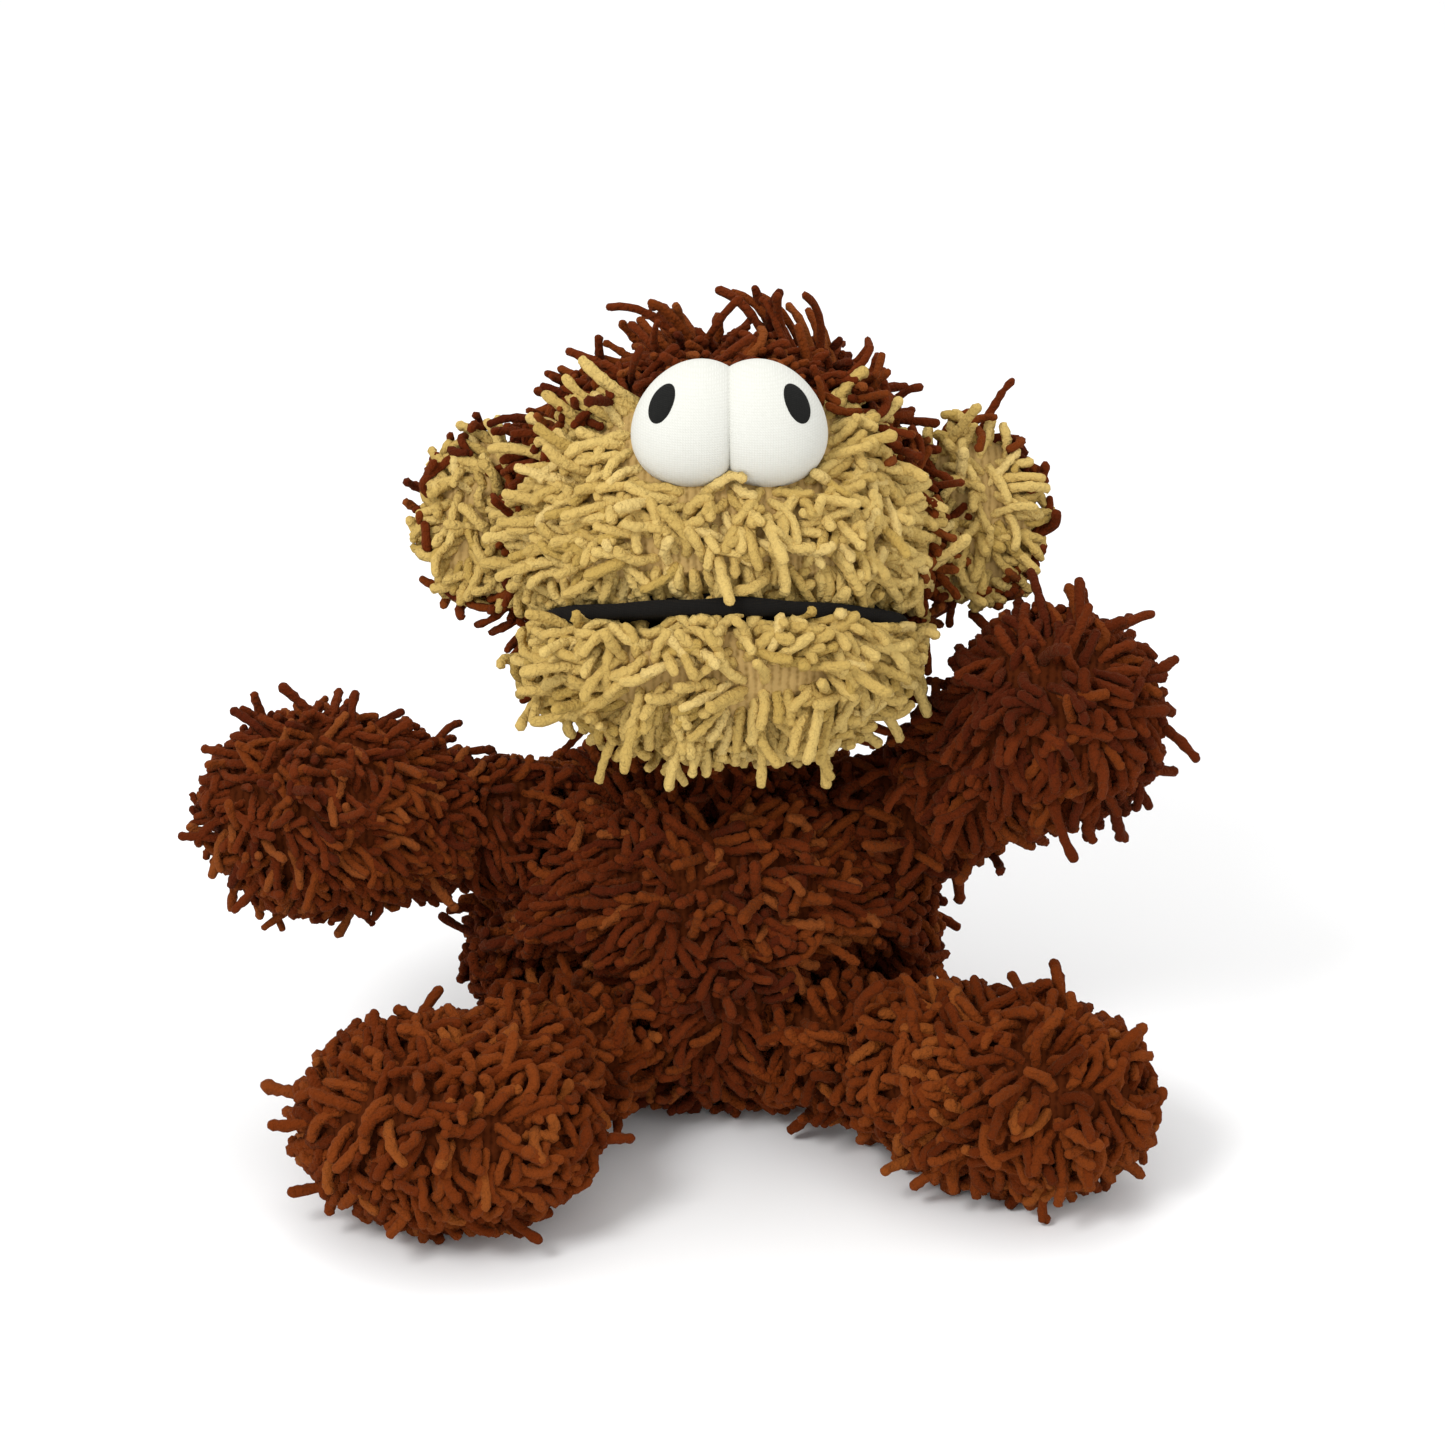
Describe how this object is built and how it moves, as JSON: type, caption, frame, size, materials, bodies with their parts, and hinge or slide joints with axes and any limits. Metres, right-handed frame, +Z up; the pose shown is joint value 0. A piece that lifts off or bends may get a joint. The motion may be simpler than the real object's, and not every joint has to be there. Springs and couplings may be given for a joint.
{
  "type": "stuffed monkey toy",
  "caption": "Sitting plush monkey with a shaggy looped-yarn cover, bulging sewn eyes, a lined mouth and soft bends at its neck, ears and limbs.",
  "frame": {"origin": "middle of the overall box at the flat underside that the toy sits on", "axes": "+Z up; the face looks towards -Y and upwards; the toy's own left is +X"},
  "size_m": [0.2917, 0.1903, 0.241],
  "materials": {
    "brown_pile": "shaggy chenille yarn pile, reddish brown",
    "tan_pile": "shaggy chenille yarn pile, sandy tan",
    "mouth_lining": "plain black woven cloth",
    "eye_cloth": "smooth white brushed cloth",
    "pupil": "black satin-stitched patch",
    "stuffing": "white polyester fibre"
  },
  "bodies": {
    "torso": {"torso_left_panel": "brown_pile", "torso_right_panel": "brown_pile", "torso_stuffing": "stuffing"},
    "neck": {"neck_stuffing": "stuffing"},
    "head": {"face_panel": "tan_pile", "head_back_panel": "brown_pile", "head_stuffing": "stuffing", "mouth_lining_upper": "mouth_lining", "eye_left_cover": "eye_cloth", "eye_left_stuffing": "stuffing", "eye_left_pupil": "pupil", "eye_right_cover": "eye_cloth", "eye_right_stuffing": "stuffing", "eye_right_pupil": "pupil"},
    "jaw": {"jaw_panel": "tan_pile", "jaw_stuffing": "stuffing", "mouth_lining_lower": "mouth_lining"},
    "ear_left": {"ear_left_front": "tan_pile", "ear_left_back": "brown_pile"},
    "ear_right": {"ear_right_front": "tan_pile", "ear_right_back": "brown_pile"},
    "shoulder_left": {"shoulder_left_stuffing": "stuffing"},
    "arm_left": {"arm_left_upper_panel": "brown_pile", "arm_left_lower_panel": "brown_pile", "arm_left_stuffing": "stuffing"},
    "shoulder_right": {"shoulder_right_stuffing": "stuffing"},
    "arm_right": {"arm_right_upper_panel": "brown_pile", "arm_right_lower_panel": "brown_pile", "arm_right_stuffing": "stuffing"},
    "hip_left": {"hip_left_stuffing": "stuffing"},
    "leg_left": {"leg_left_top_panel": "brown_pile", "leg_left_sole_panel": "brown_pile", "leg_left_stuffing": "stuffing"},
    "hip_right": {"hip_right_stuffing": "stuffing"},
    "leg_right": {"leg_right_top_panel": "brown_pile", "leg_right_sole_panel": "brown_pile", "leg_right_stuffing": "stuffing"}
  },
  "joints": [
    {"name": "neck_turn", "type": "hinge", "parent": "torso", "child": "neck", "pos_m": [0.004, 0.004, 0.107], "axis": [0, 0, -1], "range_deg": [-30, 30], "stiffness_Nm_per_rad": 1.2},
    {"name": "head_nod", "type": "hinge", "parent": "neck", "child": "head", "pos_m": [0.004, 0.004, 0.107], "axis": [-1, 0, 0], "range_deg": [-12, 12], "stiffness_Nm_per_rad": 2},
    {"name": "jaw_open", "type": "hinge", "parent": "head", "child": "jaw", "pos_m": [0.005, -0.00356, 0.14971], "axis": [1, 0, 0], "range_deg": [0, 22], "stiffness_Nm_per_rad": 0.6},
    {"name": "ear_left_fold", "type": "hinge", "parent": "head", "child": "ear_left", "pos_m": [0.068, 0.01532, 0.1792], "axis": [0, -0.515, -0.8572], "range_deg": [-30, 30], "stiffness_Nm_per_rad": 0.08},
    {"name": "ear_right_fold", "type": "hinge", "parent": "head", "child": "ear_right", "pos_m": [-0.058, 0.01429, 0.17748], "axis": [0, 0.515, 0.8572], "range_deg": [-30, 30], "stiffness_Nm_per_rad": 0.08},
    {"name": "arm_left_swing", "type": "hinge", "parent": "torso", "child": "shoulder_left", "pos_m": [0.06, -0.006, 0.088], "axis": [0, 0, 1], "range_deg": [-25, 20], "stiffness_Nm_per_rad": 0.8},
    {"name": "arm_left_raise", "type": "hinge", "parent": "shoulder_left", "child": "arm_left", "pos_m": [0.06, -0.006, 0.088], "axis": [0, -1, 0], "range_deg": [-35, 5], "stiffness_Nm_per_rad": 0.8},
    {"name": "arm_right_swing", "type": "hinge", "parent": "torso", "child": "shoulder_right", "pos_m": [-0.061, -0.006, 0.086], "axis": [0, 0, 1], "range_deg": [-15, 25], "stiffness_Nm_per_rad": 0.8},
    {"name": "arm_right_raise", "type": "hinge", "parent": "shoulder_right", "child": "arm_right", "pos_m": [-0.061, -0.006, 0.086], "axis": [0, 1, 0], "range_deg": [-25, 35], "stiffness_Nm_per_rad": 0.8},
    {"name": "leg_left_swing", "type": "hinge", "parent": "torso", "child": "hip_left", "pos_m": [0.038, -0.042, 0.03], "axis": [0, 0, -1], "range_deg": [-18, 12], "stiffness_Nm_per_rad": 1.5},
    {"name": "leg_left_lift", "type": "hinge", "parent": "hip_left", "child": "leg_left", "pos_m": [0.038, -0.042, 0.03], "axis": [-0.4679, -0.8838, 0], "range_deg": [0, 22], "stiffness_Nm_per_rad": 1.5},
    {"name": "leg_right_swing", "type": "hinge", "parent": "torso", "child": "hip_right", "pos_m": [-0.036, -0.044, 0.03], "axis": [0, 0, 1], "range_deg": [-18, 12], "stiffness_Nm_per_rad": 1.5},
    {"name": "leg_right_lift", "type": "hinge", "parent": "hip_right", "child": "leg_right", "pos_m": [-0.036, -0.044, 0.03], "axis": [-0.7483, 0.6633, 0], "range_deg": [0, 22], "stiffness_Nm_per_rad": 1.5}
  ]
}
